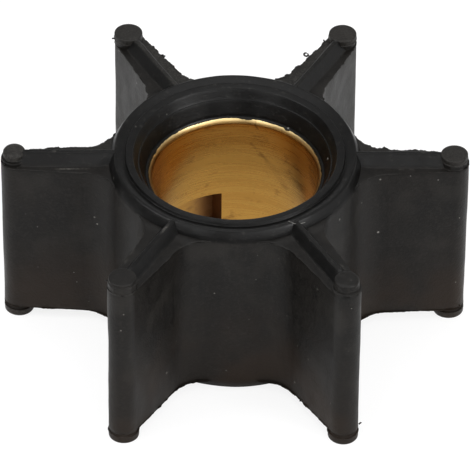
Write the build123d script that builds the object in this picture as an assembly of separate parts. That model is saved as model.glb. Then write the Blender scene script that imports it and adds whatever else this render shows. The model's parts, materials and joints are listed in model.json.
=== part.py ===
from build123d import *
import math
import os

# Six-vane water pump impeller: rubber moulded in one piece round a turned brass bush.
# Millimetres. +Z runs along the shaft axis, and z = 0 is the lower end of the hub.

# Overall
vane_count = 6
impeller_height = 22.5

# Brass bush, turned to these sizes from the bore outwards
bore_radius = 9.0
bore_chamfer_width = 0.47
bore_chamfer_height = 0.6
bush_wall = 2.25
bush_corner_chamfer = 0.4
bush_recess = 2.85

# Key slot, open at the lower end of the bush and in line with one vane
key_slot_width = 6.35
key_slot_depth = 1.5
key_slot_height = 6.2
key_slot_vane = 2

# Mouth of the hub above and below the bush, from the bush outwards
bare_ledge_width = 0.17
mouth_draft_width = 0.74
mouth_witness_step = 0.1
mouth_bevel_width = 0.57
mouth_bevel_depth = 1.2
mouth_edge_round = 0.15

# Rings on the end of the collar
sealing_ring_width = 0.8
ring_step_width = 0.14
ring_step_depth = 0.35

# Rubber wall round the bush, and the bevelled collar at each end of it
hub_wall = 2.5
collar_bevel_width = 0.65
collar_bevel_height = 1.15
collar_edge_round = 0.28

# Vanes
vane_tip_centre_radius = 23.8
vane_tip_radius = 1.6
vane_root_width = 4.5
vane_root_fillet = 2.4
shoulder_depth = 1.3

# Sealing lip along the middle of each vane end
lip_crest_width = 0.42
lip_crest_round = 0.16
lip_base_width_at_tip = 2.15
lip_base_width_at_hub = 2.0

# Button at each end of a vane tip
button_radius = 1.5
button_edge_chamfer = 0.2

# How far the lips and the vanes run into what carries them, to be one solid with it
root_overlap = 0.6

# Radii and places that follow from the sizes above
vane_pitch = 360 / vane_count
mid_height = impeller_height / 2
shoulder_z = impeller_height - shoulder_depth
bush_outer_radius = bore_radius + bush_wall
hub_radius = bush_outer_radius + hub_wall
collar_radius = hub_radius - collar_bevel_width
mouth_throat_radius = bore_radius + bore_chamfer_width + bare_ledge_width
mouth_draft_radius = mouth_throat_radius + mouth_draft_width
mouth_bevel_radius = mouth_draft_radius + mouth_witness_step
mouth_radius = mouth_bevel_radius + mouth_bevel_width
sealing_ring_radius = mouth_radius + sealing_ring_width


def both_ends(shape):
    """A shape at the upper end together with its twin at the lower end."""
    return shape + mirror(shape, about=Plane.XY.offset(mid_height))


def round_the_axis(shape):
    """Copies of a vane feature drawn along +X, one for each vane."""
    return [Rot(0, 0, vane_pitch * k) * shape for k in range(vane_count)]


def collar_profile():
    """Half section of the hub above mid height: r runs along X and z along Y."""
    top = impeller_height
    ring_root = sealing_ring_radius + ring_step_width
    outline = Polyline(
        (bush_outer_radius, mid_height),
        (bush_outer_radius, top - bush_recess - bush_corner_chamfer),
        (bush_outer_radius - bush_corner_chamfer, top - bush_recess),
        (mouth_throat_radius, top - bush_recess),
        (mouth_draft_radius, top - mouth_bevel_depth),
        (mouth_bevel_radius, top - mouth_bevel_depth),
        (mouth_radius, top),
        (sealing_ring_radius, top),
        (ring_root, top - ring_step_depth),
        (collar_radius, top),
        (hub_radius, top - collar_bevel_height),
        (hub_radius, mid_height),
        close=True,
    )
    section = make_face(outline)
    corners = section.vertices()
    outer_edge = corners.sort_by_distance((collar_radius, top))[0]
    section = fillet(outer_edge, collar_edge_round)
    mouth_edge = section.vertices().sort_by_distance((mouth_radius, top))[0]
    return fillet(mouth_edge, mouth_edge_round)


def hub():
    half_section = Plane.XZ * collar_profile()
    return both_ends(revolve(half_section, axis=Axis.Z))


def vane_planform():
    """Plan of one tapered vane along +X, with a full round at its tip."""
    root_x = hub_radius - root_overlap - hub_wall / 2
    run = vane_tip_centre_radius - hub_radius
    taper = math.atan2(vane_root_width / 2 - vane_tip_radius, run)
    tip_x = vane_tip_centre_radius + vane_tip_radius * math.sin(taper)
    tip_y = vane_tip_radius * math.cos(taper)
    root_y = tip_y + (tip_x - root_x) * math.tan(taper)
    side = Line((root_x, root_y), (tip_x, tip_y))
    tip = ThreePointArc((tip_x, tip_y), (vane_tip_centre_radius + vane_tip_radius, 0), (tip_x, -tip_y))
    other_side = Line((tip_x, -tip_y), (root_x, -root_y))
    root = Line((root_x, -root_y), (root_x, root_y))
    return make_face(Curve() + [side, tip, other_side, root])


def blades():
    """All the vanes up to their shoulders, with filleted roots on the hub wall."""
    plan = Circle(hub_radius) + round_the_axis(vane_planform())
    on_hub = plan.vertices().filter_by(lambda v: abs(v.center().length - hub_radius) < root_overlap)
    plan = fillet(on_hub, vane_root_fillet)
    plan -= Circle(hub_radius - hub_wall / 2)
    body = extrude(plan, amount=shoulder_z - shoulder_depth)
    return Pos(0, 0, shoulder_depth) * body


def lip_section(base_width):
    """Cross section of a lip: a wedge with a rounded crest, its base on the shoulder."""
    half_base = base_width / 2
    half_crest = lip_crest_width / 2
    outline = Polyline(
        (-half_base, -root_overlap),
        (half_base, -root_overlap),
        (half_base, 0),
        (half_crest, shoulder_depth),
        (-half_crest, shoulder_depth),
        (-half_base, 0),
        close=True,
    )
    wedge = make_face(outline)
    crest = wedge.vertices().group_by(Axis.Y)[-1]
    return fillet(crest, lip_crest_round)


def end_lip():
    """One lip along +X at the upper end, from the collar to the button."""
    inner_x = collar_radius - collar_edge_round
    at_hub = Plane((inner_x, 0, shoulder_z), x_dir=(0, 1, 0), z_dir=(1, 0, 0))
    at_tip = at_hub.offset(vane_tip_centre_radius - inner_x)
    return loft([at_hub * lip_section(lip_base_width_at_hub), at_tip * lip_section(lip_base_width_at_tip)])


def end_button():
    """One button on a vane tip at the upper end."""
    button = Cylinder(button_radius, shoulder_depth, align=(Align.CENTER, Align.CENTER, Align.MAX))
    rim = button.edges().group_by(Axis.Z)[-1]
    return Pos(vane_tip_centre_radius, 0, impeller_height) * chamfer(rim, button_edge_chamfer)


def rubber_body():
    end_parts = both_ends(end_lip() + end_button())
    return hub() + blades() + round_the_axis(end_parts)


def brass_bush():
    length = impeller_height - 2 * bush_recess
    outline = Polyline(
        (bore_radius, bore_chamfer_height),
        (bore_radius + bore_chamfer_width, 0),
        (bush_outer_radius - bush_corner_chamfer, 0),
        (bush_outer_radius, bush_corner_chamfer),
        (bush_outer_radius, length - bush_corner_chamfer),
        (bush_outer_radius - bush_corner_chamfer, length),
        (bore_radius + bore_chamfer_width, length),
        (bore_radius, length - bore_chamfer_height),
        close=True,
    )
    ring = revolve(Plane.XZ * make_face(outline), axis=Axis.Z)
    slot = Box(
        bore_radius + key_slot_depth,
        key_slot_width,
        key_slot_height,
        align=(Align.MIN, Align.CENTER, Align.MIN),
    )
    ring -= Rot(0, 0, vane_pitch * key_slot_vane) * slot
    return Pos(0, 0, bush_recess) * ring


os.makedirs("parts", exist_ok=True)
nodes = {"rubber_body": rubber_body(), "brass_bush": brass_bush()}
for name, shape in nodes.items():
    solid = shape.solids()[0]
    solid.label = name
    print(name, "solids", len(shape.solids()), "valid", solid.is_valid, "volume", round(solid.volume, 1))
    export_step(solid, f"parts/{name}.step")
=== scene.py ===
import json
import bpy
import bmesh
import numpy as np
from mathutils import Matrix, Vector


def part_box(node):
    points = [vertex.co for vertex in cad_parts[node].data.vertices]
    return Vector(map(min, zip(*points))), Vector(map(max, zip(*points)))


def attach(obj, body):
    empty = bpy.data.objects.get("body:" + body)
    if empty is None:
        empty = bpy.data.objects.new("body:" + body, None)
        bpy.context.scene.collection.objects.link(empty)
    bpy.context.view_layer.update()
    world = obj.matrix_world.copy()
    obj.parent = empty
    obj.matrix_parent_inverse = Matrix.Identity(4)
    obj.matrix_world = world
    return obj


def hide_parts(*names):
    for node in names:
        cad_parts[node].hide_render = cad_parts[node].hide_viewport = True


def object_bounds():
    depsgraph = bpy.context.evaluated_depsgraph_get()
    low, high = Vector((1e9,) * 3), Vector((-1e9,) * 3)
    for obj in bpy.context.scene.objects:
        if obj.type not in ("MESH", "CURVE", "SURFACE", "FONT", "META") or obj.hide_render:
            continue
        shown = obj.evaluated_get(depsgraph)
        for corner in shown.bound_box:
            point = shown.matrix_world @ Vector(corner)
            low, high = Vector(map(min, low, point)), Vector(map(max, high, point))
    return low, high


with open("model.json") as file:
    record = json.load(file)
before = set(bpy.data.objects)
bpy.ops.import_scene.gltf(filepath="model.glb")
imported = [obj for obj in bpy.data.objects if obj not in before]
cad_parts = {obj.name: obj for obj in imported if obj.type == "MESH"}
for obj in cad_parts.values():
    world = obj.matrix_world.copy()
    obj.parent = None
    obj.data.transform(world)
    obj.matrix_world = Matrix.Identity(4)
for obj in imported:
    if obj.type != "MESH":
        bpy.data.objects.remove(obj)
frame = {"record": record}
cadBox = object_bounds()
mm = 0.001
weldGap = 2e-7
sharpAngle = 0.75
print("stage: frame loaded")

# Sizes that the pieces share, in millimetres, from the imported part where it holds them
rubberLow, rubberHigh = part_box("rubber_body")
bushLow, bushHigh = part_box("brass_bush")
mounts = {m["name"]: m for m in frame["record"]["mounts"]}
tipRadius = 1.6
impeller = {
    "vaneCount": 6,
    "height": (rubberHigh.z - rubberLow.z) / mm,
    "tipCentreRadius": rubberHigh.x / mm - tipRadius,
    "tipRadius": tipRadius,
    "rootHalfWidth": 2.25,
    "rootFillet": 4.0,
    "hubRadius": 13.75,
    "collarRadius": 13.1,
    "shoulderDepth": 1.3,
    "bushOuterRadius": bushHigh.x / mm,
    "bushLow": bushLow.z / mm,
    "bushHigh": bushHigh.z / mm,
    "boreRadius": mounts["bore"]["dims"]["r_mm"],
}
halfHeight = impeller["height"] / 2
shoulderZ = impeller["height"] - impeller["shoulderDepth"]
vanePitch = 360 / impeller["vaneCount"]


# Shape helpers: whole arrays in millimetres, until makePiece turns them to metres

def smoothStep(t):
    # 3t^2 - 2t^3 between 0 and 1
    t = np.clip(t, 0, 1)
    return t * t * (3 - 2 * t)


def ringAngles(count):
    # evenly stepped angles once round
    return np.linspace(0, 2 * np.pi, count, endpoint=False)


def unit(rows):
    # each row made 1 long
    return rows / np.linalg.norm(rows, axis=1)[:, None]


def gridPoints(x, y, z):
    # x, y and z over one grid, as rows of points
    return np.stack(np.broadcast_arrays(x, y, z), -1).reshape(-1, 3)


def polarGrid(r, a, z):
    # points (r cos a, r sin a, z) over one grid
    return gridPoints(r * np.cos(a), r * np.sin(a), z)


def fromEnd(points):
    # how far each point lies below the nearer end
    return halfHeight - np.abs(points[:, 2] - halfHeight)


def fromAxis(points):
    return np.hypot(points[:, 0], points[:, 1])


def roundedPath(corners, radii, gap, arcSteps=5):
    # a line through the corners: each corner an arc of its radius, each straight in steps no longer than gap
    corners = [np.array(c, float) for c in corners]
    points = []
    for i, here in enumerate(corners):
        arc = here[None]
        if 0 < i < len(corners) - 1 and radii[i] > 0:
            back = corners[i - 1] - here
            ahead = corners[i + 1] - here
            back /= np.linalg.norm(back)
            ahead /= np.linalg.norm(ahead)
            half = np.arccos(np.clip(back @ ahead, -0.99999, 1)) / 2
            middle = (back + ahead) / max(np.linalg.norm(back + ahead), 1e-6)
            centre = here + middle * radii[i] / np.sin(half)
            start = here + back * radii[i] / np.tan(half) - centre
            end = here + ahead * radii[i] / np.tan(half) - centre
            turn = np.arctan2(start[0] * end[1] - start[1] * end[0], start @ end)
            angle = np.arctan2(start[1], start[0]) + np.linspace(0, turn, arcSteps)
            arc = centre + radii[i] * np.stack([np.cos(angle), np.sin(angle)], 1)
        if points:
            last = points[-1][-1]
            steps = max(1, int(np.ceil(np.linalg.norm(arc[0] - last) / gap)))
            share = np.linspace(0, 1, steps + 1)[1:-1, None]
            points.append(last + (arc[0] - last) * share)
        points.append(arc)
    return np.concatenate([p for p in points if len(p)])


def gridFaces(rows, columns, wrapRows=False, wrapColumns=False):
    # the quads between neighbours of a rows x columns grid, joined round where a wrap is asked for
    r = np.arange(rows if wrapRows else rows - 1)
    c = np.arange(columns if wrapColumns else columns - 1)
    r, c = np.meshgrid(r, c, indexing="ij")
    nextR = (r + 1) % rows
    nextC = (c + 1) % columns
    quad = [r * columns + c, r * columns + nextC, nextR * columns + nextC, nextR * columns + c]
    return np.stack([q.ravel() for q in quad], 1)


def endFaces(rows, columns):
    # one face over the first row of a grid, and one over its last
    first = np.arange(columns)
    return [first, first + (rows - 1) * columns]


def ragged(length, seed, step=0.5, count=240):
    # a torn edge, 0 to 1 along its length: blocks of random height, softened, with fine teeth
    rng = np.random.default_rng(seed)
    s = np.linspace(0, length, count)
    cuts = np.sort(rng.uniform(0, length, max(3, int(length / step))))
    level = np.clip(rng.gamma(0.8, 0.42, len(cuts) + 1), 0, 1)[np.searchsorted(cuts, s)]
    fine = int(length / 0.12) + 2
    teeth = np.interp(s, np.linspace(0, length, fine), rng.uniform(0, 1, fine))
    kernel = np.array([1, 2, 3, 2, 1]) / 9
    return np.clip(np.convolve(level, kernel, "same") * (0.65 + 0.35 * teeth) + 0.2 * teeth, 0, 1)


def waves(points, scale, seed, terms=9):
    # smooth noise of three components: a sum of sines in random directions, about 1 high and scale mm long
    rng = np.random.default_rng(seed)
    total = np.zeros_like(points)
    for axis in range(3):
        way = unit(rng.normal(size=(terms, 3)))
        way *= 2 * np.pi / (scale * rng.uniform(0.6, 1.6, terms))[:, None]
        total[:, axis] = np.sin(points @ way.T + rng.uniform(0, 6.28, terms)).sum(1) / np.sqrt(terms)
    return total


def settle(points, amount=0.03):
    # the slight unevenness of moulded rubber: a smooth drift of every point, but not up or down at the ends
    drift = waves(points, 9.0, 41) * amount + waves(points, 3.2, 42) * amount * 0.35
    height = points[:, 2] / impeller["height"]
    drift[:, 2] *= np.clip(4 * height * (1 - height), 0, 1)
    return points + drift


def turned(points, degrees):
    # points turned about the shaft axis
    a = np.radians(degrees)
    x, y, z = points.T
    return np.stack([x * np.cos(a) - y * np.sin(a), x * np.sin(a) + y * np.cos(a), z], 1)


def lathe(profile, count):
    # a closed (radius, height) profile turned about the axis: point = (r cos a, r sin a, z)
    r, z = profile.T
    return polarGrid(r, ringAngles(count)[:, None], z), gridFaces(count, len(profile), True, True), []


def tube(path, radius, sides=7):
    # a round section along a path, its ends drawn to a point: point = path + r (u cos a + w sin a)
    along = unit(np.gradient(path, axis=0))
    u = unit(np.cross(along, [0.31, 0.17, 0.94]))
    w = np.cross(along, u)
    a = ringAngles(sides)
    thick = radius * np.sqrt(np.clip(1 - np.linspace(-1, 1, len(path)) ** 8, 0.0004, 1))
    ring = u[:, None] * np.cos(a)[None, :, None] + w[:, None] * np.sin(a)[None, :, None]
    points = path[:, None] + ring * thick[:, None, None]
    size = len(path), sides
    return points.reshape(-1, 3), gridFaces(*size, False, True), endFaces(*size)


def weldedMesh(name, points, faces):
    # points closer than weldGap merged, empty faces dissolved, normals made to agree
    mesh = bpy.data.meshes.new(name)
    mesh.from_pydata(points.tolist(), [], faces)
    build = bmesh.new()
    build.from_mesh(mesh)
    bmesh.ops.remove_doubles(build, verts=build.verts, dist=weldGap)
    bmesh.ops.dissolve_degenerate(build, edges=build.edges, dist=1e-7)
    bmesh.ops.recalc_face_normals(build, faces=build.faces)
    build.to_mesh(mesh)
    build.free()
    return mesh


def addObject(name, data):
    thing = bpy.data.objects.new(name, data)
    bpy.context.scene.collection.objects.link(thing)
    return thing


def makePiece(name, shells, material, masks=None):
    # one mesh from closed shells of (points in mm, quads, end faces), seams welded and faces outward
    starts = np.cumsum([0] + [len(shell[0]) for shell in shells])
    points = np.concatenate([shell[0] for shell in shells]) * mm
    points = np.clip(points, np.array(cadBox[0]), np.array(cadBox[1]))
    faces = np.concatenate([shell[1] + start for shell, start in zip(shells, starts)]).tolist()
    faces += [(cap + start).tolist() for shell, start in zip(shells, starts) for cap in shell[2]]
    mesh = weldedMesh(name, points, faces)
    mesh.polygons.foreach_set("use_smooth", np.ones(len(mesh.polygons), bool))
    mesh.set_sharp_from_angle(angle=sharpAngle)
    mesh.materials.append(material)
    spots = np.zeros(len(mesh.vertices) * 3)
    mesh.vertices.foreach_get("co", spots)
    for label, formula in (masks or {}).items():
        layer = mesh.attributes.new(label, "FLOAT", "POINT")
        layer.data.foreach_set("value", formula(spots.reshape(-1, 3) / mm).astype(np.float32))
    mesh.update()
    piece = addObject(name, mesh)
    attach(piece, "root")
    sides = np.zeros(len(mesh.polygons), int)
    mesh.polygons.foreach_get("loop_total", sides)
    print("stage:", name, int((sides - 2).sum()), "triangles")
    return piece


# Shader helpers

def newGroup(name, inputs, outputs):
    # a shader node group with named sockets: the group, what it is given, and its way out
    group = bpy.data.node_groups.new(name, "ShaderNodeTree")
    for label, value in inputs.items():
        socket = group.interface.new_socket(name=label, in_out="INPUT", socket_type="NodeSocketFloat")
        socket.default_value = value
    for label in outputs:
        group.interface.new_socket(name=label, in_out="OUTPUT", socket_type="NodeSocketFloat")
    given = addNode(group, "NodeGroupInput", {}).outputs
    return group, given, addNode(group, "NodeGroupOutput", {})


def feed(tree, node, inputs):
    # a node's inputs, each from another node's socket or a plain value
    for label, value in inputs.items():
        if isinstance(value, bpy.types.NodeSocket):
            tree.links.new(value, node.inputs[label])
        else:
            node.inputs[label].default_value = value
    return node


def addNode(tree, kind, inputs, **settings):
    # one node: its settings first, because they decide which inputs it has
    node = tree.nodes.new(kind)
    for label, value in settings.items():
        setattr(node, label, value)
    return feed(tree, node, inputs)


def placeGroup(tree, group, **values):
    return addNode(tree, "ShaderNodeGroup", values, node_tree=group)


def math(tree, operation, a, b):
    return addNode(tree, "ShaderNodeMath", {0: a, 1: b}, operation=operation).outputs[0]


def times(tree, a, b):
    return math(tree, "MULTIPLY", a, b)


def plus(tree, a, b):
    return math(tree, "ADD", a, b)


def blend(tree, factor, a, b):
    # a Mix Color node between sockets or plain colours
    a, b = ((*value, 1) if isinstance(value, tuple) else value for value in (a, b))
    return addNode(tree, "ShaderNodeMix", {0: factor, 6: a, 7: b}, data_type="RGBA").outputs[2]


def spread(tree, value, low, high, toLow=0.0, toHigh=1.0):
    # Map Range with a smooth ramp
    inputs = {"Value": value, "From Min": low, "From Max": high, "To Min": toLow, "To Max": toHigh}
    return addNode(tree, "ShaderNodeMapRange", inputs, interpolation_type="SMOOTHSTEP").outputs["Result"]


def partSpace(tree, stretch=(1, 1, 1)):
    # Object coordinates in millimetres, squeezed along an axis where a pattern runs along it
    where = addNode(tree, "ShaderNodeTexCoord", {}).outputs["Object"]
    inputs = {"Vector": where, "Scale": [1000 * s for s in stretch]}
    return addNode(tree, "ShaderNodeMapping", inputs).outputs["Vector"]


def noise(tree, vector, scale, detail=3.0, roughness=0.55):
    inputs = {"Vector": vector, "Scale": scale, "Detail": detail, "Roughness": roughness}
    return addNode(tree, "ShaderNodeTexNoise", inputs).outputs["Fac"]


def readMask(tree, label):
    return addNode(tree, "ShaderNodeAttribute", {}, attribute_name=label).outputs["Fac"]


def addBump(tree, shader, height, depth):
    bump = addNode(tree, "ShaderNodeBump", {"Height": height, "Distance": depth})
    tree.links.new(bump.outputs["Normal"], shader.inputs["Normal"])


def newMaterial(name, constants):
    # a node material, its tree and its main shader with these constants on its sockets
    material = bpy.data.materials.new(name)
    material.use_nodes = True
    tree = material.node_tree
    return material, tree, feed(tree, tree.nodes["Principled BSDF"], constants)


def buildDustGroup():
    # pale specks: Voronoi cells of which a share is chosen, each a small dot of its own size and strength
    group, given, out = newGroup("dustSpecks", {"Spacing": 1.6, "Amount": 0.1, "Size": 0.12}, ["Mask"])
    scale = math(group, "DIVIDE", 1.0, given["Spacing"])
    inputs = {"Scale": scale, "Vector": partSpace(group)}
    cells = addNode(group, "ShaderNodeTexVoronoi", inputs).outputs
    split = addNode(group, "ShaderNodeSeparateColor", {"Color": cells["Color"]}).outputs
    chosen = math(group, "LESS_THAN", split["Red"], given["Amount"])
    size = times(group, times(group, split["Green"], given["Size"]), scale)
    near = math(group, "LESS_THAN", cells["Distance"], size)
    faint = math(group, "POWER", split["Blue"], 2.5)
    feed(group, out, {"Mask": times(group, times(group, chosen, near), faint)})
    return group


def buildGrainGroup():
    # fine moulded or cut grain: two noises, for height and for a broken tone
    group, given, out = newGroup("fineGrain", {"Fineness": 4.0}, ["Height", "Tone"])
    space = partSpace(group)
    fine = noise(group, space, given["Fineness"], 4.0, 0.65)
    coarse = noise(group, space, times(group, given["Fineness"], 0.17), 3.0, 0.5)
    feed(group, out, {"Height": plus(group, fine, times(group, coarse, 0.6)), "Tone": coarse})
    return group


dustGroup = buildDustGroup()
grainGroup = buildGrainGroup()

# colours first, then each pattern's scale, detail and roughness, then depths and shares
rubberLook = {
    "dark": (0.0042, 0.0040, 0.0038),
    # the smooth skin's darker colour, also used for painted shade
    "skin": (0.0014, 0.0013, 0.0012),
    "pale": (0.0092, 0.0083, 0.0072),
    "bloom": (0.017, 0.0155, 0.0135),
    "brown": (0.019, 0.0112, 0.0064),
    # the pale colour of wear, also used for painted highlights on crests and discs
    "worn": (0.085, 0.08, 0.072),
    "dust": (0.25, 0.24, 0.22),
    "grainFineness": 3.6,
    "streaks": (0.9, 4.0),
    "blotches": (0.2, 3.0),
    "flecks": (2.6, 3.0, 0.7),
    "patches": (0.13, 2.0),
    "specks": (5.5, 2.0),
    "rubs": (3.0, 5.0, 0.7),
    "grainDepth": 0.00004,
    "specular": 0.2,
    "satin": 0.44,
    "polished": 0.34,
    "roughnessSpread": 0.06,
    "dustSpread": {"Spacing": 1.1, "Amount": 0.5, "Size": 0.13},
}


def buildRubber():
    # black moulded rubber: mottled tone, streaks along the pull of the mould, faint bloom, sparse dust, a
    # darker smooth skin that also paints shade, and pale wear that also paints highlights
    look = rubberLook
    material, tree, shader = newMaterial("rubber", {"Specular IOR Level": look["specular"]})
    space = partSpace(tree)
    polish = readMask(tree, "polish")
    matte = math(tree, "SUBTRACT", 1.0, polish)
    grain = placeGroup(tree, grainGroup, Fineness=look["grainFineness"])
    streaks = noise(tree, partSpace(tree, (1, 1, 0.25)), *look["streaks"])
    blotches = noise(tree, space, *look["blotches"])
    mottle = plus(tree, times(tree, streaks, 0.6), times(tree, grain.outputs["Tone"], 0.4))
    colour = blend(tree, spread(tree, mottle, 0.28, 0.72), look["dark"], look["pale"])
    colour = blend(tree, times(tree, spread(tree, blotches, 0.5, 0.7), 0.6), colour, look["bloom"])
    flecks = noise(tree, space, *look["flecks"])
    colour = blend(tree, spread(tree, flecks, 0.48, 0.68, 0.0, 0.55), colour, look["bloom"])
    # the darker smooth skin, which also paints shade on the button necks and the front discs
    colour = blend(tree, times(tree, polish, 0.95), colour, look["skin"])
    patches = noise(tree, space, *look["patches"])
    brown = times(tree, spread(tree, patches, 0.38, 0.62, 0.22, 0.75), matte)
    height = addNode(tree, "ShaderNodeSeparateXYZ", {"Vector": space}).outputs["Z"]
    brown = times(tree, brown, spread(tree, height, 3.0, 14.0, 1.0, 0.1))
    colour = blend(tree, brown, colour, look["brown"])
    # pale wear, and painted highlights on some crests and on the discs at the back and left
    specks = spread(tree, noise(tree, space, *look["specks"]), 0.47, 0.6, 0.25, 1.0)
    colour = blend(tree, times(tree, specks, readMask(tree, "worn")), colour, look["worn"])
    # faint rubbed lines and specks on the smooth skin
    rubs = noise(tree, partSpace(tree, (0.5, 0.5, 1)), *look["rubs"])
    rubs = times(tree, spread(tree, rubs, 0.56, 0.7, 0.0, 0.16), polish)
    colour = blend(tree, rubs, colour, look["worn"])
    dust = placeGroup(tree, dustGroup, **look["dustSpread"])
    colour = blend(tree, dust.outputs["Mask"], colour, look["dust"])
    rough = spread(tree, mottle, 0.3, 0.7, -look["roughnessSpread"], look["roughnessSpread"])
    rough = plus(tree, rough, look["satin"])
    rough = math(tree, "SUBTRACT", rough, times(tree, polish, look["satin"] - look["polished"]))
    feed(tree, shader, {"Base Color": colour, "Roughness": rough})
    height = times(tree, grain.outputs["Height"], plus(tree, times(tree, matte, 0.65), 0.35))
    addBump(tree, shader, height, look["grainDepth"])
    return material


brassLook = {
    "bright": (0.55, 0.31, 0.073),
    "dull": (0.46, 0.245, 0.055),
    # the stains' colour, also used for painted shade at the slot's back
    "stain": (0.2, 0.09, 0.025),
    # the colour of the painted shade in the key slot
    "grime": (0.27, 0.14, 0.065),
    "fresh": (0.8, 0.66, 0.36),
    "lines": (5.0, 5.0, 0.7),
    "bands": (0.6, 2.0),
    "stains": (0.5, 5.0, 0.6),
    "grainFineness": 5.0,
    "lineDepth": 0.00001,
    "roughness": (0.2, 0.34),
}


def buildBrass():
    # turned brass: fine lines round the bore, darker stains, a dulled skin, and painted shade in the key slot
    look = brassLook
    material, tree, shader = newMaterial("brass", {"Metallic": 1.0})
    lines = noise(tree, partSpace(tree, (0.05, 0.05, 1)), *look["lines"])
    bands = noise(tree, partSpace(tree, (0.06, 0.06, 1)), *look["bands"])
    grain = placeGroup(tree, grainGroup, Fineness=look["grainFineness"])
    mixed = plus(tree, times(tree, lines, 0.5), times(tree, bands, 0.5))
    colour = blend(tree, spread(tree, mixed, 0.38, 0.62), look["dull"], look["bright"])
    stains = noise(tree, partSpace(tree, (1, 1, 1.6)), *look["stains"])
    colour = blend(tree, spread(tree, stains, 0.58, 0.78, 0.0, 0.75), colour, look["stain"])
    # painted shade in the key slot, darker and rougher
    grime = readMask(tree, "grime")
    fresh = readMask(tree, "fresh")
    colour = blend(tree, grime, colour, look["grime"])
    colour = blend(tree, fresh, colour, look["fresh"])
    # stains on the bore, and painted shade at the right end of the slot's back
    broken = spread(tree, grain.outputs["Tone"], 0.4, 0.6, 0.35, 1.0)
    colour = blend(tree, times(tree, readMask(tree, "marks"), broken), colour, look["stain"])
    rough = spread(tree, mixed, 0.3, 0.7, *look["roughness"])
    rough = plus(tree, rough, times(tree, fresh, 0.15))
    rough = plus(tree, rough, times(tree, grime, 0.25))
    feed(tree, shader, {"Base Color": colour, "Roughness": rough})
    height = plus(tree, lines, times(tree, grain.outputs["Height"], 0.2))
    addBump(tree, shader, height, look["lineDepth"])
    return material


def buildPlain(name, colour, roughness):
    # a small thing of one colour broken by grain
    material, tree, shader = newMaterial(name, {"Roughness": roughness})
    grain = placeGroup(tree, grainGroup, Fineness=9.0)
    darker = tuple(c * 0.55 for c in colour)
    broken = blend(tree, spread(tree, grain.outputs["Tone"], 0.3, 0.7), darker, colour)
    feed(tree, shader, {"Base Color": broken})
    return material


rubber = buildRubber()
brass = buildBrass()
lint = buildPlain("lint", (0.3, 0.29, 0.27), 0.8)
print("stage: materials")


# The hub: collars, rings and the mouths above and below the bush, all one turned section
hub = {
    "throatRadius": 9.64,
    "draftRadius": 10.38,
    "bevelRadius": 10.48,
    "mouthRadius": 11.05,
    "bevelDepth": 1.2,
    "ringRadius": 11.85,
    "grooveRadius": 11.99,
    "grooveDepth": 0.35,
    "ringDish": 0.12,
    "collarBevel": 1.15,
    "collarRound": 0.26,
    "collarSwell": 0.15,
    "bushCorner": 0.4,
    "segments": 400,
}


def hubPolish(points):
    # 1 on the rings and the mouths, which the mould leaves smooth, less on the lower collar, 0 on the wall
    face = smoothStep((hub["collarBevel"] + 0.25 - fromEnd(points)) / 0.3)
    face = face * np.where(points[:, 2] > halfHeight, 1, 0.3)
    return np.maximum(face, smoothStep((impeller["collarRadius"] - 0.3 - fromAxis(points)) / 0.2))


def buildHub():
    # closed section from the bush up over the collar, down the wall, and back under, turned about the axis
    top = impeller["height"]
    seat = impeller["bushHigh"]
    outer = impeller["bushOuterRadius"]
    upper = [
        ((outer, halfHeight), 0),
        ((outer, seat - hub["bushCorner"]), 0),
        ((outer - hub["bushCorner"], seat), 0),
        ((hub["throatRadius"], seat), 0.02),
        ((hub["draftRadius"], top - hub["bevelDepth"]), 0.03),
        ((hub["bevelRadius"], top - hub["bevelDepth"]), 0.03),
        ((hub["mouthRadius"], top - hub["ringDish"]), 0.12),
        ((hub["ringRadius"], top), 0.05),
        ((hub["grooveRadius"], top - hub["grooveDepth"]), 0.06),
        ((impeller["collarRadius"], top), hub["collarRound"]),
        ((impeller["hubRadius"], top - hub["collarBevel"]), 2.0),
        ((impeller["hubRadius"], halfHeight), 0),
    ]
    half = roundedPath([c for c, r in upper], [r for c, r in upper], 0.3)
    other = half[::-1][1:-1] * [1, -1] + [0, impeller["height"]]
    points, faces, caps = lathe(np.concatenate([half, other]), hub["segments"])
    # the collar's edge stands out a little on one side: y grows near that edge where y > 0
    near = smoothStep((fromAxis(points) - impeller["collarRadius"] + 0.8) / 0.5)
    near *= smoothStep((points[:, 2] - top + 1.1) / 0.8)
    points[:, 1] += hub["collarSwell"] * near * np.clip(points[:, 1] / impeller["collarRadius"], 0, 1)
    return makePiece("rubberHub", [(settle(points), faces, caps)], rubber, {"polish": hubPolish})


# The vanes, each a section carried round its plan outline
vane = {
    "innerRadius": 12.4,
    "lipCrestHalf": 0.21,
    "lipCrestRound": 0.16,
    "lipBaseAtTip": 1.075,
    "lipBaseAtHub": 1.0,
    "lipFoot": 0.08,
    "lipDropAtButton": 0.08,
    "rootRise": 0.14,
    "edgeRound": 0.04,
    "flareSteps": 12,
    "sideSteps": 64,
    "tipSteps": 10,
}
# how far each vane's tip leans round the axis, in mm
vaneLean = [0.05, 0.06, -0.05, 0.0, 0.12, -0.04]


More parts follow.
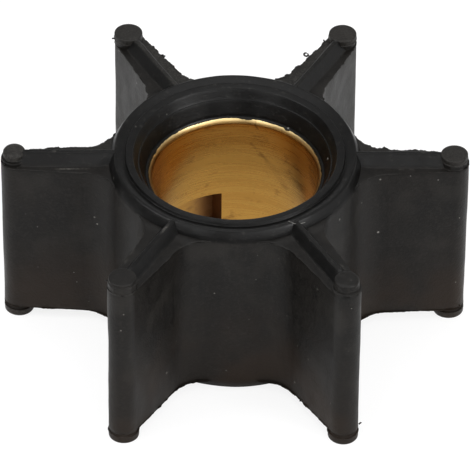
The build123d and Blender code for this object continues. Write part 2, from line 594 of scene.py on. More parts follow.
def vaneOutline():
    # one side of the plan, from inside the hub to the tip: its points, and their feet on the middle line
    reach = impeller["tipCentreRadius"]
    taper = np.arctan2(impeller["rootHalfWidth"] - impeller["tipRadius"], reach - impeller["hubRadius"])
    tipX = reach + impeller["tipRadius"] * np.sin(taper)
    tipY = impeller["tipRadius"] * np.cos(taper)
    # the fillet's centre lies one fillet off the side line and one fillet off the hub wall
    fillet = impeller["rootFillet"]
    far = impeller["hubRadius"] + fillet
    offset = fillet / np.cos(taper) + tipY + tipX * np.tan(taper)
    slope = np.tan(taper)
    centreX = (offset * slope + np.sqrt((1 + slope ** 2) * far ** 2 - offset ** 2)) / (1 + slope ** 2)
    centreY = offset - slope * centreX
    start = np.arctan2(-centreY, -centreX) + 2 * np.pi
    end = 1.5 * np.pi - taper
    a = np.linspace(start, end, vane["flareSteps"])
    flare = np.stack([centreX + fillet * np.cos(a), centreY + fillet * np.sin(a)], 1)
    inside = [[vane["innerRadius"], flare[0, 1] - 0.5], [vane["innerRadius"] + 0.5, flare[0, 1] - 0.25]]
    share = np.linspace(0, 1, vane["sideSteps"] + 1)[1:, None]
    side = flare[-1] + (np.array([tipX, tipY]) - flare[-1]) * share
    b = np.linspace(np.pi / 2 - taper, 0, vane["tipSteps"] + 1)[1:]
    tip = np.stack([reach + impeller["tipRadius"] * np.cos(b), impeller["tipRadius"] * np.sin(b)], 1)
    outline = np.concatenate([inside, flare, side, tip])
    return outline, np.minimum(outline[:, 0], reach)


def shareOut(along, start):
    # 0 at a start radius, 1 at the centre of the tip
    return np.clip((along - start) / (impeller["tipCentreRadius"] - start), 0, 1)


def bendVane(points, index):
    # a vane drawn along +X, put in its place, its tip leaning by its own amount, as the square of the way out
    out = shareOut(points[:, 0], impeller["hubRadius"])
    points = points + vaneLean[index] * out[:, None] ** 2 * [0, 1, 0]
    return settle(turned(points, vanePitch * index))


def vaneShell(index):
    # section at each outline point: crest, lip wall, foot, shoulder, edge and side, mirrored about mid height
    outline, feet = vaneOutline()
    outline = np.concatenate([outline, outline[::-1][1:] * [1, -1]])
    feet = np.concatenate([feet, feet[::-1][1:]])
    width = np.hypot(outline[:, 0] - feet, outline[:, 1])
    way = np.stack([(outline[:, 0] - feet) / width, outline[:, 1] / width], 1)
    base = shareOut(feet, impeller["collarRadius"])
    base = vane["lipBaseAtHub"] + (vane["lipBaseAtTip"] - vane["lipBaseAtHub"]) * base
    depth = impeller["shoulderDepth"]
    # the standard section as (distance out, height below the end), scaled to each point's base and width
    lip = roundedPath(
        [(0, 0), (vane["lipCrestHalf"], 0), (1, depth), (1.6, depth)],
        [0, vane["lipCrestRound"], vane["lipFoot"], 0],
        0.25,
        4,
    )
    shoulder = np.linspace(0, 1, 7)[1:-1]
    rim = roundedPath([(-1, 0), (0, 0), (0, 1)], [0, vane["edgeRound"], 0], 9, 4)[1:-1]
    wall = np.linspace(0, 1, 22)[1:]
    crest = vane["lipCrestHalf"]
    beyond = np.clip((lip[:, 0] - crest) / (1 - crest), 0, None)
    lipOut = np.minimum(lip[:, 0], crest) + beyond * (base[:, None] - crest)
    width = width[:, None]
    room = width - vane["edgeRound"] - 0.02
    lipOut = np.minimum(lipOut, room)
    # inside the collar the lip sinks below its dished top
    sink = 0.8 - 0.8 * smoothStep((feet - vane["innerRadius"] - 0.15) / 0.5)
    sink += vane["lipDropAtButton"] * smoothStep((feet - impeller["tipCentreRadius"] + 1.7) / 0.4)
    last = lipOut[:, -1:]
    wallTop = depth + vane["edgeRound"]
    stretches = [
        (lipOut, np.maximum(lip[:, 1], sink[:, None])),
        (last + (room - last) * shoulder, depth),
        (width + rim[:, 0], depth + rim[:, 1]),
        (width, wallTop + wall * (halfHeight - wallTop)),
    ]
    stretches = [np.broadcast_arrays(*stretch) for stretch in stretches]
    outward = np.concatenate([out for out, down in stretches], 1)
    down = np.concatenate([down for out, down in stretches], 1)
    # at the root the shoulder rises a little, into the foot of the collar's bevel
    rise = vane["rootRise"] * (1 - smoothStep((feet - impeller["hubRadius"]) / 0.9))[:, None]
    down -= rise * smoothStep(down / depth - 0.2) * (1 - smoothStep((down - depth) / 1.5))
    outward = np.concatenate([outward, outward[:, ::-1][:, 1:]], 1)
    height = np.concatenate([impeller["height"] - down, down[:, ::-1][:, 1:]], 1)
    x = feet[:, None] + way[:, :1] * outward
    y = way[:, 1:] * outward
    rows, columns = outward.shape
    inside = np.arange(columns)
    cap = np.concatenate([inside, inside[::-1][1:-1] + (rows - 1) * columns])
    return bendVane(gridPoints(x, y, height), index), gridFaces(rows, columns), [cap]


def lipPolish(points):
    # 1 on the lips, a third of it on the shoulders, 0 on the sides
    drop = fromEnd(points)
    onLip = smoothStep((impeller["shoulderDepth"] - 0.05 - drop) / 0.2)
    return np.maximum(onLip, 0.35 * smoothStep((impeller["shoulderDepth"] + 0.1 - drop) / 0.08))


# how worn each upper vane end is, with its painted highlight, vane 0 to 5: the wear on the shoulder on its
# left, on the one on its right, and the painted highlight on the crest
wearAndSheenEnds = [(0.14, 0, 0), (0.26, 0, 0.12), (0, 0.34, 0.28), (0, 0.14, 0), (0, 0, 0), (0, 0, 0.08)]
# small scuffs: vane, along, across, half length, half width, strength
scuffs = [
    (3, 18.9, 1.55, 0.5, 0.1, 0.8), (3, 17.7, 1.5, 0.7, 0.12, 1.0), (3, 16.2, 1.5, 0.4, 0.08, 0.5),
    (4, 14.8, 0.0, 0.7, 0.14, 0.9), (4, 18.6, -1.85, 0.4, 0.12, 0.7), (4, 20.2, -1.6, 0.3, 0.1, 0.5),
    (0, 19.2, -1.3, 0.4, 0.08, 0.6), (0, 18.0, -1.2, 0.25, 0.08, 0.5), (5, 20.8, 1.3, 0.5, 0.1, 0.4),
    (0, 20.4, 0.2, 0.2, 0.15, 0.6), (3, 19.6, 0.1, 0.2, 0.15, 0.7), (1, 15.6, 1.4, 0.2, 0.15, 0.9),
]


wearAndSheenZone = {
    "innerRadius": 13.2,
    "reach": 4.0,
    "lipFoot": 0.95,
    "crestHalf": 0.36,
    "crestDepth": 0.2,
}


def vaneWearAndSheen(points):
    # 1 where the rubber is scuffed pale on a shoulder beyond the lip's foot, and a painted highlight along
    # the crest
    total = np.zeros(len(points))
    high = points[:, 2] > halfHeight
    drop = impeller["height"] - points[:, 2]
    for index, (left, right, crest) in enumerate(wearAndSheenEnds):
        place = turned(points, -vanePitch * index)
        off = np.abs(place[:, 1])
        here = high & (place[:, 0] > wearAndSheenZone["innerRadius"]) & (off < wearAndSheenZone["reach"])
        level = here & (drop < impeller["shoulderDepth"] + 0.09)
        beyondFoot = smoothStep((off - wearAndSheenZone["lipFoot"]) / 0.15)
        total += level * beyondFoot * np.where(place[:, 1] > 0, left, right)
        # painted highlight: a pale line along the crest
        onCrest = here & (drop < wearAndSheenZone["crestDepth"])
        total += onCrest * smoothStep((wearAndSheenZone["crestHalf"] - off) / 0.25) * crest
        for which, along, across, halfLength, halfWidth, strength in scuffs:
            if which == index:
                away = np.hypot((place[:, 0] - along) / halfLength, (place[:, 1] - across) / halfWidth)
                total += here * (drop < impeller["shoulderDepth"] + 0.2) * strength * smoothStep(1.6 - away)
    return np.clip(total, 0, 1)


def buildVanes():
    shells = [vaneShell(k) for k in range(impeller["vaneCount"])]
    return makePiece("rubberVanes", shells, rubber, {"polish": lipPolish, "worn": vaneWearAndSheen})


# The button at each end of a vane tip: a disc with a thin ring of flash, a neck, and a foot on the shoulder
button = {
    "discRadius": 1.53,
    "discHeight": 0.6,
    "ringOut": 0.06,
    "neckRadius": 1.4,
    "footRadius": 1.5,
    "footHeight": 0.04,
    "edgeRound": 0.14,
    "dome": 0.0,
    "out": 0.0,
    "across": 0.0,
    "segments": 96,
}
# what sets single buttons apart, by vane and end
buttonLooks = {
    (0, 1): {"discRadius": 1.51, "discHeight": 0.55, "neckRadius": 1.46, "out": -0.04, "across": -0.06},
    (1, 1): {"discRadius": 1.55, "ringOut": 0.08, "neckRadius": 1.48, "out": 0.05},
    (2, 1): {"discRadius": 1.58, "ringOut": 0.04, "neckRadius": 1.53, "across": 0.13},
    (3, 1): {
        "discRadius": 1.24, "discHeight": 0.7, "edgeRound": 0.4, "dome": 0.08, "neckRadius": 1.16,
        "footRadius": 1.46, "footHeight": 0.3, "across": -0.22, "out": 0.12,
    },
    (4, 1): {
        "discRadius": 1.5, "discHeight": 0.32, "ringOut": 0.08, "neckRadius": 1.605, "footRadius": 1.605,
    },
    (5, 1): {
        "discRadius": 1.37, "discHeight": 0.55, "edgeRound": 0.3, "ringOut": 0.0, "neckRadius": 1.4,
        "footRadius": 1.62, "footHeight": 0.16,
    },
}
lowerButton = {"discRadius": 1.66, "discHeight": 0.75, "neckRadius": 1.5, "out": -0.06, "edgeRound": 0.12}


def buttonShell(index, end):
    # a lathe about the tip's centre whose flash ring swells and thins round it
    look = {**button, **buttonLooks.get((index, end), lowerButton)}
    depth = impeller["shoulderDepth"]
    disc = look["discRadius"]
    high = look["discHeight"]
    foot = look["footHeight"] - depth
    profile = roundedPath(
        [
            (0, 0),
            (disc * 0.5, -look["dome"] * 0.25 - 0.002),
            (disc - 0.02, -look["dome"]),
            (disc, -high),
            (disc + look["ringOut"], -high - 0.05),
            (disc + look["ringOut"] * 0.8, -high - 0.11),
            (look["neckRadius"], -high - 0.16),
            (look["neckRadius"], foot + 0.04),
            (look["footRadius"], foot - 0.02),
            (look["footRadius"], -depth - 0.1),
            (look["neckRadius"] - 0.1, -depth - 0.3),
            (0, -depth - 0.3),
        ],
        [0, 0.6, look["edgeRound"], 0.04, 0.02, 0.02, 0.05, 0.05, 0.03, 0, 0, 0],
        0.2,
    )
    a = ringAngles(button["segments"])[:, None]
    r, z = profile.T
    torn = ragged(2 * np.pi, 300 + index * 2 + end, 0.4, button["segments"] + 1)[:-1]
    onRing = smoothStep((r - disc + 0.01) / 0.03) * (z > -depth + 0.1)
    r = r + onRing * (torn[:, None] - 0.5) * look["ringOut"] * 1.6
    x = impeller["tipCentreRadius"] + look["out"] + r * np.cos(a)
    points = gridPoints(x, look["across"] + r * np.sin(a), halfHeight + end * (halfHeight + z))
    return bendVane(points, index), gridFaces(button["segments"], len(profile), True), []


def buildButtons():
    shells = [buttonShell(k, end) for k in range(impeller["vaneCount"]) for end in (1, -1)]
    return makePiece("vaneButtons", shells, rubber, {"polish": buttonPolishShade, "worn": buttonDiscLight})


def buttonDiscLight(points):
    # painted light on the discs: none at the front, paler further back and most on the left
    away = smoothStep((points[:, 1] + 18) / 10)
    return (fromEnd(points) < button["discHeight"] + 0.2) * (0.14 * away + 0.1 * away * (points[:, 0] < -20))


def buttonPolishShade(points):
    # painted shade: a part of the polish, with its darker skin, on the necks of the back buttons under their
    # discs, and on the discs at the front
    drop = fromEnd(points)
    front = smoothStep((-points[:, 1] - 5) / 10)
    neck = smoothStep((drop - button["discHeight"] - 0.08) / 0.1)
    return np.maximum(0.4 * (1 - front) * neck, 0.35 * front * (drop < 0.05))


# The bush: bore with tool marks, chamfers, and the key slot open at the lower end
bush = {
    "chamferWidth": 0.47,
    "chamferHeight": 0.6,
    "corner": 0.4,
    "slotWidth": 6.35,
    "slotDepth": 1.5,
    "slotHeight": 6.2,
    "slotAngle": 120.0,
    "arcSteps": 440,
    "slotSteps": 30,
    "lowerRows": 44,
    "upperRows": 66,
    "toolMark": 0.004,
    "grimeReach": 3.5,
    "cornerReach": 2.4,
    "cornerStrength": 0.6,
}


def slotShadeMask(points):
    # painted shade: 1 on the key slot's right wall and beside it on the slot's back, falling to 0.2 at the
    # left
    place = turned(points, -bush["slotAngle"])
    half = bush["slotWidth"] / 2
    edge = np.sqrt(impeller["boreRadius"] ** 2 - half ** 2)
    inside = (np.abs(place[:, 1]) < half + 0.005) & (place[:, 0] > edge + 0.02)
    inside &= place[:, 0] < impeller["boreRadius"] + bush["slotDepth"] + 0.01
    inside &= points[:, 2] < impeller["bushLow"] + bush["slotHeight"] + 0.01
    beyondBore = fromAxis(place) > impeller["boreRadius"] + 0.02
    shade = 1 - smoothStep((place[:, 1] + half) / bush["grimeReach"])
    return inside * beyondBore * (0.2 + 0.8 * shade)


# darker marks on the bore: from and to as (degrees round the axis, height in mm), half width in mm, strength
boreMarks = [
    ((79, 16.3), (66, 14.2), 0.18, 0.5), ((66, 14.2), (52, 11.6), 0.5, 0.4),
    ((57, 12.4), (53, 12.2), 0.12, 0.8), ((163.4, 17.5), (163.0, 15.6), 0.09, 0.8),
    ((108, 9.2), (102, 8.9), 0.07, 0.5), ((114, 9.6), (111, 9.1), 0.07, 0.4),
    ((76, 19.0), (74, 18.6), 0.12, 0.9), ((165, 18.9), (162, 19.2), 0.1, 0.9),
]


def boreDark(points):
    # each mark's strength by the distance to its line on the unrolled bore, and painted shade at the right
    # end of the slot's back
    angle = np.arctan2(points[:, 1], points[:, 0])
    flat = np.stack([angle * impeller["boreRadius"], points[:, 2]], 1)
    inside = fromAxis(points) < impeller["boreRadius"] + 0.6
    total = np.zeros(len(points))
    for start, end, half, strength in boreMarks:
        a = np.array([np.radians(start[0]) * impeller["boreRadius"], start[1]])
        b = np.array([np.radians(end[0]) * impeller["boreRadius"], end[1]])
        along = np.clip((flat - a) @ (b - a) / ((b - a) @ (b - a)), 0, 1)
        off = np.linalg.norm(flat - a - along[:, None] * (b - a), axis=1)
        total = np.maximum(total, strength * (1 - smoothStep(off / half - 0.3)))
    # painted shade: the slot's back darkened towards its right wall
    place = turned(points, -bush["slotAngle"])
    deep = np.abs(place[:, 0] - impeller["boreRadius"] - bush["slotDepth"]) < 0.02
    deep &= points[:, 2] < impeller["bushLow"] + bush["slotHeight"] + 0.01
    corner = deep * (1 - smoothStep((place[:, 1] + bush["slotWidth"] / 2) / bush["cornerReach"]))
    return np.maximum(total * inside, bush["cornerStrength"] * corner)


def freshCut(points):
    # 1 on the chamfers, which are paler than the bore
    beyond = np.abs(points[:, 2] - halfHeight) - (impeller["bushHigh"] - halfHeight) + bush["chamferHeight"]
    return smoothStep(beyond / 0.05 + 0.2) * (fromAxis(points) < impeller["boreRadius"] + 1)


def buildBush():
    # columns round the axis; in the slot's columns the lower inner points move out to the slot's flat back
    bore = impeller["boreRadius"]
    low = impeller["bushLow"]
    high = impeller["bushHigh"]
    outer = impeller["bushOuterRadius"]
    half = bush["slotWidth"] / 2
    slotTop = low + bush["slotHeight"]
    back = bore + bush["slotDepth"]
    wide = bore + bush["chamferWidth"]
    edge = np.arcsin(half / bore)
    arc = np.linspace(edge, 2 * np.pi - edge, bush["arcSteps"])[:, None]
    # across the slot: two steps down one wall, the back, and two steps up the other
    lipX = np.sqrt(bore ** 2 - half ** 2)
    acrossBack = np.linspace(-half, half, bush["slotSteps"])
    wallX = np.array([lipX + 0.04, lipX + 0.6])
    slotLocalY = np.concatenate([[-half, -half], acrossBack, [half, half]])[:, None]
    slotLocalX = np.concatenate([wallX, 0 * acrossBack + back, wallX[::-1]])[:, None]
    # inner heights, lower end to upper end, with the slot's ceiling as a doubled height
    lowerBore = np.linspace(low + bush["chamferHeight"], slotTop, bush["lowerRows"])
    upperBore = np.linspace(slotTop, high - bush["chamferHeight"], bush["upperRows"])
    heights = np.concatenate([[low, low], lowerBore, upperBore, [high, high]])
    inSlot = np.arange(len(heights)) < 2 + bush["lowerRows"]
    straight = np.full(len(heights) - 4, bore)
    radius = np.concatenate([[wide + 0.6, wide], straight, [wide, wide + 0.6]])
    # tool marks: a fine thread of rings of changing depth, none at the chamfers
    rings = np.sin(heights / 0.34 * 2 * np.pi) * (0.6 + 0.4 * np.sin(heights * 1.7))
    rings += 0.8 * np.sin(heights * 2.3)
    fromChamfer = np.minimum(heights - low, high - heights) - bush["chamferHeight"]
    radius[2:-2] += (bush["toolMark"] * rings * smoothStep(fromChamfer / 0.5))[2:-2]
    outside = np.array([
        (outer - bush["corner"], high), (outer, high - bush["corner"]),
        (outer, low + bush["corner"]), (outer - bush["corner"], low),
    ])
    ring = np.concatenate([radius, outside[:, 0]])
    tall = np.concatenate([heights, outside[:, 1]])
    plain = polarGrid(ring, arc, tall)
    # the slot's columns: one sideways place at every height on the inner side, fanned out on the outer
    angle = np.arcsin(slotLocalY / bore)
    innerX = np.where(inSlot[None], slotLocalX, radius[None] * np.cos(angle))
    innerY = np.where(inSlot[None], slotLocalY, radius[None] * np.sin(angle))
    slotX = np.concatenate([innerX, outside[:, 0] * np.cos(angle)], 1)
    slotY = np.concatenate([innerY, outside[:, 0] * np.sin(angle)], 1)
    points = turned(np.concatenate([plain, gridPoints(slotX, slotY, tall)]), bush["slotAngle"])
    columns = len(tall)
    rows = len(points) // columns
    masks = {"grime": slotShadeMask, "fresh": freshCut, "marks": boreDark}
    return makePiece("brassBush", [(points, gridFaces(rows, columns, True, True), [])], brass, masks)


# Flash: the torn fins that the mould leaves along the outer edges of the shoulders
flash = {
    "thickness": 0.045,
    "buried": 0.12,
    "stations": 240,
    "reach": 0.24,
    "tipStrength": 0.35,
    "curl": 0.04,
    "swayPoints": 14,
    "webCentre": 13.9,
    "cleanTip": (0, 0, 0, 0, 0.12, 0),
}
# how torn each edge is, for vane 0 to 5: upper left edge, upper right edge, lower left edge, lower right edge
flashStrength = [
    (1.7, 0.45, 0.3, 0.8),
    (1.1, 0.6, 0.3, 0.3),
    (0.9, 1.1, 0.3, 0.3),
    (0.5, 1.2, 0.5, 0.3),
    (0.35, 0.4, 0.6, 0.3),
    (0.5, 0.35, 0.3, 0.8),
]
# lumps that stand out of an edge: vane, side, place along the vane, how far they stand out, half length
flashLumps = [
    (1, 1, 19.3, 0.05, 0.25), (1, 1, 22.6, 0.12, 0.3), (1, 1, 17.4, 0.06, 0.2),
    (2, -1, 19.7, 0.26, 0.3), (2, -1, 17.8, 0.14, 0.5), (2, 1, 15.4, 0.2, 0.5),
    (1, -1, 20.5, 0.08, 0.2), (1, -1, 17.8, 0.08, 0.3), (0, 1, 21.0, 0.12, 0.6),
    (0, 1, 16.4, 0.12, 0.4), (3, 1, 18.4, 0.12, 0.6), (3, 1, 16.6, 0.1, 0.3),
]
# thin webs that widen the root's corner: vane, side, end, how far they stand out, reach along the vane
flashWebs = [
    (1, 1, 1, 0.28, 3.6), (0, -1, -1, 0.2, 3.0), (3, 1, -1, 0.1, 1.8), (4, 1, -1, 0.2, 2.0),
    (5, -1, -1, 0.2, 2.0),
]


def shoulderEdge():
    # the shoulder's outer edge on the left of vane 0, in even steps to the end of the tip: points, normals
    edge = vaneOutline()[0][2:]
    run = np.concatenate([[0], np.cumsum(np.linalg.norm(np.diff(edge, axis=0), axis=1))])
    s = np.linspace(0, run[-1], flash["stations"])
    edge = np.stack([np.interp(s, run, edge[:, 0]), np.interp(s, run, edge[:, 1])], 1)
    along = unit(np.gradient(edge, axis=0))
    return edge, np.stack([-along[:, 1], along[:, 0]], 1), run[-1]


def finShell(index, side, end, strength):
    # a thin fin: across it, a flat section from inside the edge out to the torn rim; along it, the edge
    edge, normal, length = shoulderEdge()
    seed = 100 + index * 4 + (side > 0) * 2 + (end > 0)
    torn = ragged(length, seed, 0.4, flash["stations"])
    roundTip = smoothStep((edge[:, 0] - impeller["tipCentreRadius"] + 0.3) / 0.6)
    out = flash["reach"] * torn * (strength + (flash["tipStrength"] - strength) * roundTip)
    if end > 0:
        for which, where, at, extra, half in flashLumps:
            if (which, where) == (index, side):
                out += extra * np.exp(-((edge[:, 0] - at) / half) ** 4)
    s = np.linspace(0, length, flash["stations"])
    for which, where, level, extra, reach in flashWebs:
        if (which, where, level) == (index, side, end):
            web = np.exp(-((edge[:, 0] - flash["webCentre"]) / reach) ** 2)
            out += extra * web * smoothStep(s / 0.3)
    out = out * smoothStep(s / 0.6) + 0.015 - flash["cleanTip"][index] * roundTip
    sway = np.random.default_rng(seed).normal(size=flash["swayPoints"])
    lift = flash["curl"] * strength * np.interp(s, np.linspace(0, length, flash["swayPoints"]), sway)
    t = flash["thickness"] / 2
    across = np.array([-1, 0.6, 1, 1, 0.6, -1])
    tall = np.array([-1, -0.8, -0.25, 0.25, 0.8, 1]) * t
    place = np.where(across[None] < 0, -flash["buried"], out[:, None] * across[None])
    z = tall[None] + np.where(across[None] > 0, lift[:, None] * across[None] ** 2, 0) - t
    x = edge[:, :1] + normal[:, :1] * place
    y = (edge[:, 1:] + normal[:, 1:] * place) * side
    z = halfHeight + end * (shoulderZ - halfHeight + z)
    points = bendVane(gridPoints(x, y, z), index)
    return points, gridFaces(*x.shape, False, True), endFaces(*x.shape)


def buildFlash():
    shells = []
    for k, strengths in enumerate(flashStrength):
        for strength, (side, end) in zip(strengths, ((1, 1), (-1, 1), (1, -1), (-1, -1))):
            shells.append(finShell(k, side, end, strength))
    return makePiece("mouldFlash", shells, rubber)


# Scraps of the mould: one curled loop (its vane, along, across and height), and nubs at the vane edges
scraps = {
    "loop": (1, 19.81, 2.42, 21.28),
    "loopRadius": 0.24,
    "threadRadius": 0.1,
    "nubRadius": 0.09,
}
# nubs: vane, along, across, height, length, direction in degrees in plan
nubs = [
    (2, 24.4, 1.6, 21.8, 0.28, 190), (4, 24.5, -1.4, 21.85, 0.3, 170), (3, 25.0, 1.0, 21.35, 0.2, 190),
    (3, 23.4, 1.62, 21.4, 0.22, 250), (1, 22.98, 1.85, 21.25, 0.16, 120), (2, 19.85, -2.0, 21.2, 0.16, 40),
    (0, 25.1, -1.0, 21.3, 0.18, 320), (5, 24.75, 1.45, 1.75, 0.3, 40), (0, 24.9, -1.1, 1.5, 0.2, 320),
    (5, 18.0, -1.95, 1.35, 0.25, 250), (2, 20.3, 2.0, 12.0, 0.16, 180), (1, 14.3, -2.9, 21.1, 0.2, 330),
]


def onVane(index, along, across, height):
    # a place given along and across a vane, in the part's frame
    return bendVane(np.array([[along, across, height]], float), index)[0]


def buildScraps():
    index, along, across, height = scraps["loop"]
    a = np.linspace(0, 2 * np.pi, 30)
    r = scraps["loopRadius"]
    ring = np.stack([along + r * np.cos(a), across + r * np.sin(a), height + 0.05 * np.sin(a)], 1)
    shells = [tube(bendVane(ring, index), scraps["threadRadius"])]
    for number, (index, along, across, height, length, degrees) in enumerate(nubs):
        start = onVane(index, along, across, height)
        t = np.linspace(-0.4, 1, 9)[:, None]
        way = np.array([np.cos(np.radians(degrees)), np.sin(np.radians(degrees)), 0.25 * np.sin(number)])
        shells.append(tube(start + way * length * t, scraps["nubRadius"]))
    return makePiece("mouldScraps", shells, rubber)


# Rubber that crept over the end faces of the bush and on to its chamfers, with a torn inner edge
creep = {
    "outer": 10.1,
    "inner": (9.24, 9.38),
    "thickness": 0.04,
    "segments": 600,
}


def buildCreep():
    # at each end a thin skin that follows the chamfer, from a torn inner edge out to the rubber
    shells = []
    a = ringAngles(creep["segments"])
    corner = impeller["boreRadius"] + bush["chamferWidth"]
    slope = bush["chamferHeight"] / bush["chamferWidth"]
    for end, seat in ((1, impeller["bushHigh"]), (-1, impeller["bushLow"])):
        torn = ragged(2 * np.pi * creep["inner"][0], 70 + end, 0.8, creep["segments"])
        fade = smoothStep(np.minimum(a, 2 * np.pi - a) / 0.1)
        inner = creep["inner"][1] - (creep["inner"][1] - creep["inner"][0]) * torn * fade
        t = creep["thickness"]
        outer = np.full_like(a, creep["outer"])
        bend = np.full_like(a, corner)
        r = np.stack([inner, inner + t, bend, outer, outer, bend], 1)
        z = np.array([0.1, 1, 1, 1, -1, -1])[None] * t * end + seat - end * np.clip(corner - r, 0, 1) * slope
        shells.append((polarGrid(r, a[:, None], z), gridFaces(creep["segments"], 6, True, True), []))
    return makePiece("rubberCreep", shells, rubber, {"polish": lambda points: 0 * points[:, 0] + 1})


# Specks of pale dust that lie on the rubber and in the bore, and one hair on the collar
motes = [
    (-14.0, -2.2, 16.2), (-17.6, -2.05, 6.8), (-17.3, -2.05, 5.4), (-16.0, -2.1, 2.6), (14.2, -2.2, 20.9),
    (14.1, -2.15, 10.6), (19.0, -1.95, 20.9), (22.0, -1.75, 20.2), (24.5, -1.5, 14.6), (-9.4, -11.5, 21.08),
    (-5.95, -14.5, 18.2), (12.4, -22.15, 19.6), (3.8, -13.2, 8.4), (-10.2, 18.0, 21.1), (-6.2, 15.0, 21.1),
    (5.9, 14.4, 21.1), (7.2, 16.0, 21.1), (-19.6, -1.1, 21.08), (-12.4, -3.0, 22.3), (12.6, 1.8, 22.35),
]


def buildMotes():
    # small uneven balls: point = centre + size (unit direction)
    rng = np.random.default_rng(23)
    around, down = 8, 6
    b = np.linspace(0, np.pi, down)
    ball = polarGrid(np.sin(b), ringAngles(around)[:, None], np.cos(b))
    shells = []
    for place in motes:
        size = rng.uniform(0.03, 0.055) * rng.uniform(0.7, 1.3, 3)
        shells.append((np.array(place) + ball * size, gridFaces(around, down, True), []))
    t = np.linspace(0, 1, 40)
    hair = [5.7 + 1.9 * t, -11.35 - 0.35 * np.sin(3.3 * t) - 0.25 * t, 22.44 + 0.02 * np.sin(9 * t)]
    shells.append(tube(np.stack(hair, 1), 0.022, 5))
    return makePiece("dustMotes", shells, lint)


hubPiece = buildHub()
buildVanes()
buildButtons()
buildFlash()
buildScraps()
buildCreep()
bushPiece = buildBush()
buildMotes()
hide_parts("rubber_body")
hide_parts("brass_bush")


# Floor, light and surroundings
studio = {
    "floorSize": 1.6,
    "floorSides": 96,
    "floorInner": 0.4,
    "floorColour": 0.86,
    "cameraOwn": 0.2,
    "cameraLift": 0.03,
    "mirrorOwn": 0.42,
    "cameraBright": (1.0, 3.0),
    "mirrorBright": (0.036, 0.075),
    "boreEdge": (0.01, 0.0125),
    "mirrorShade": (0.012, 0.02),
    "shade": 0.25,
    "farGlow": 0.06,
    "rightGlow": 1.5,
    "frontGlow": 0.48,
    "backGlow": 0.9,
    "coveRadius": 0.3,
    "coveHeight": 0.55,
    "floorGap": 0.00003,
    "world": 0.39,
}
# soft lamps: place in metres, size, power
lamps = {
    "overheadLamp": ((0.0, 0.05, 1.0), 1.3, 6.3),
    "frontLamp": ((0.1, -0.92, 0.42), 0.4, 0.95),
    "leftStrip": ((-0.51, -0.72, 0.47), 0.5, 1.7),
    "rightStrip": ((0.51, -0.72, 0.47), 0.5, 1.7),
    "rightLamp": ((0.7, -0.45, 0.45), 0.3, 3.0),
    "leftLamp": ((-0.7, -0.2, 0.6), 0.5, 3.0),
}


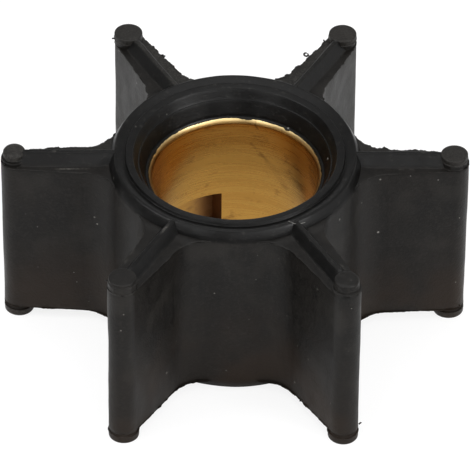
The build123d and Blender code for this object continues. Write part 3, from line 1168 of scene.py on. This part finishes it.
def buildSweep():
    # plain pale paper: a round floor that bends up into a low wall, white to the camera
    # in reflections it glows as painted light: bright near the part, and far off on the right and at the
    # back, with painted shade in front of the part
    a = ringAngles(studio["floorSides"])[:, None]
    bend = np.linspace(0, np.pi / 2, 9)
    size = studio["floorSize"]
    radius = studio["coveRadius"]
    low = -studio["floorGap"]
    r = np.concatenate([[0.0, studio["floorInner"]], size - radius + radius * np.sin(bend), [size]])
    z = np.concatenate([[low, low], radius - radius * np.cos(bend), [studio["coveHeight"]]])
    faces = gridFaces(studio["floorSides"], len(r), True).tolist()
    mesh = weldedMesh("sweep", polarGrid(r, a, z), faces)
    sweep = addObject("sweep", mesh)
    paper = {"Roughness": 0.9, "Specular IOR Level": 0.0, "Emission Color": (1, 1, 1, 1)}
    material, tree, shader = newMaterial("sweepPaper", paper)
    # 1 for camera, mirror and see-through rays, 0 for rays that light things
    path = addNode(tree, "ShaderNodeLightPath", {}).outputs
    cameraRay = path["Is Camera Ray"]
    seen = math(tree, "MAXIMUM", cameraRay, path["Is Glossy Ray"])
    seen = math(tree, "MAXIMUM", seen, path["Is Transmission Ray"])
    where = addNode(tree, "ShaderNodeTexCoord", {}).outputs["Object"]
    away = addNode(tree, "ShaderNodeVectorMath", {0: where}, operation="LENGTH").outputs["Value"]
    axes = addNode(tree, "ShaderNodeSeparateXYZ", {"Vector": where}).outputs
    wide = spread(tree, away, *studio["cameraBright"], 1.0, studio["farGlow"])
    narrow = spread(tree, away, *studio["mirrorBright"], 1.0, studio["farGlow"])
    # painted shade: the glow in reflections is lower in front of the part
    narrow = times(tree, narrow, spread(tree, axes["Y"], -0.02, 0.004, studio["frontGlow"], 1.0))
    # painted shade: the glow in reflections is cut where the hub would shade the floor, but not below the
    # bore
    belowBore = spread(tree, away, *studio["boreEdge"], 1.0, studio["shade"])
    shaded = spread(tree, away, *studio["mirrorShade"], studio["shade"], 1.0)
    narrow = times(tree, narrow, math(tree, "MAXIMUM", belowBore, shaded))
    glow = math(tree, "MAXIMUM", times(tree, wide, cameraRay), narrow)
    glow = math(tree, "MAXIMUM", glow, spread(tree, axes["X"], 0.3, 1.3, 0.0, studio["rightGlow"]))
    glow = math(tree, "MAXIMUM", glow, spread(tree, axes["Y"], 0.6, 1.2, 0.0, studio["backGlow"]))
    own = blend(tree, cameraRay, (studio["mirrorOwn"],) * 3, (studio["cameraOwn"],) * 3)
    own = blend(tree, seen, (studio["floorColour"],) * 3, own)
    share = times(tree, cameraRay, studio["mirrorOwn"] - studio["cameraOwn"] + studio["cameraLift"])
    share = plus(tree, share, 1 - studio["mirrorOwn"])
    glow = times(tree, times(tree, seen, glow), share)
    feed(tree, shader, {"Base Color": own, "Emission Strength": glow})
    mesh.materials.append(material)


def buildWorld():
    world = bpy.data.worlds.new("studio")
    bpy.context.scene.world = world
    world.use_nodes = True
    inputs = {"Color": (1, 1, 1, 1), "Strength": studio["world"]}
    feed(world.node_tree, world.node_tree.nodes["Background"], inputs)


def addLamp(name, place, size, power):
    lamp = bpy.data.lights.new(name, "AREA")
    lamp.shape = "DISK"
    lamp.size = size
    lamp.energy = power
    holder = addObject(name, lamp)
    holder.location = place
    holder.rotation_euler = (-Vector(place)).to_track_quat("-Z", "Y").to_euler()


# The camera stands at the front, between two vanes, and looks down at the part
view = {
    "elevation": 40.745,
    "distance": 0.604,
    "lens": 422.3,
    "roll": 0.405,
    "aimRight": 0.00005,
    "aimDown": 0.00048,
}


def buildCamera():
    e = np.radians(view["elevation"])
    roll = np.radians(view["roll"])
    forward = Vector((0, np.cos(e), -np.sin(e)))
    level = Vector((1, 0, 0))
    upright = Vector((0, np.sin(e), np.cos(e)))
    right = level * np.cos(roll) + upright * np.sin(roll)
    up = upright * np.cos(roll) - level * np.sin(roll)
    middle = Vector((0, 0, halfHeight * mm))
    place = middle - forward * view["distance"]
    aim = middle + right * view["aimRight"] - up * view["aimDown"]
    forward = (aim - place).normalized()
    right = forward.cross(up).normalized()
    up = right.cross(forward)
    camera = addObject("camera", bpy.data.cameras.new("camera"))
    camera.data.lens = view["lens"]
    camera.data.sensor_width = 36
    camera.data.clip_start = 0.01
    turn = Matrix((right, up, -forward)).transposed()
    camera.matrix_world = Matrix.Translation(place) @ turn.to_4x4()
    bpy.context.scene.camera = camera


buildSweep()
buildWorld()
for name, (place, size, power) in lamps.items():
    addLamp(name, place, size, power)
buildCamera()
bpy.context.scene.view_settings.view_transform = "Standard"
print("stage: studio")
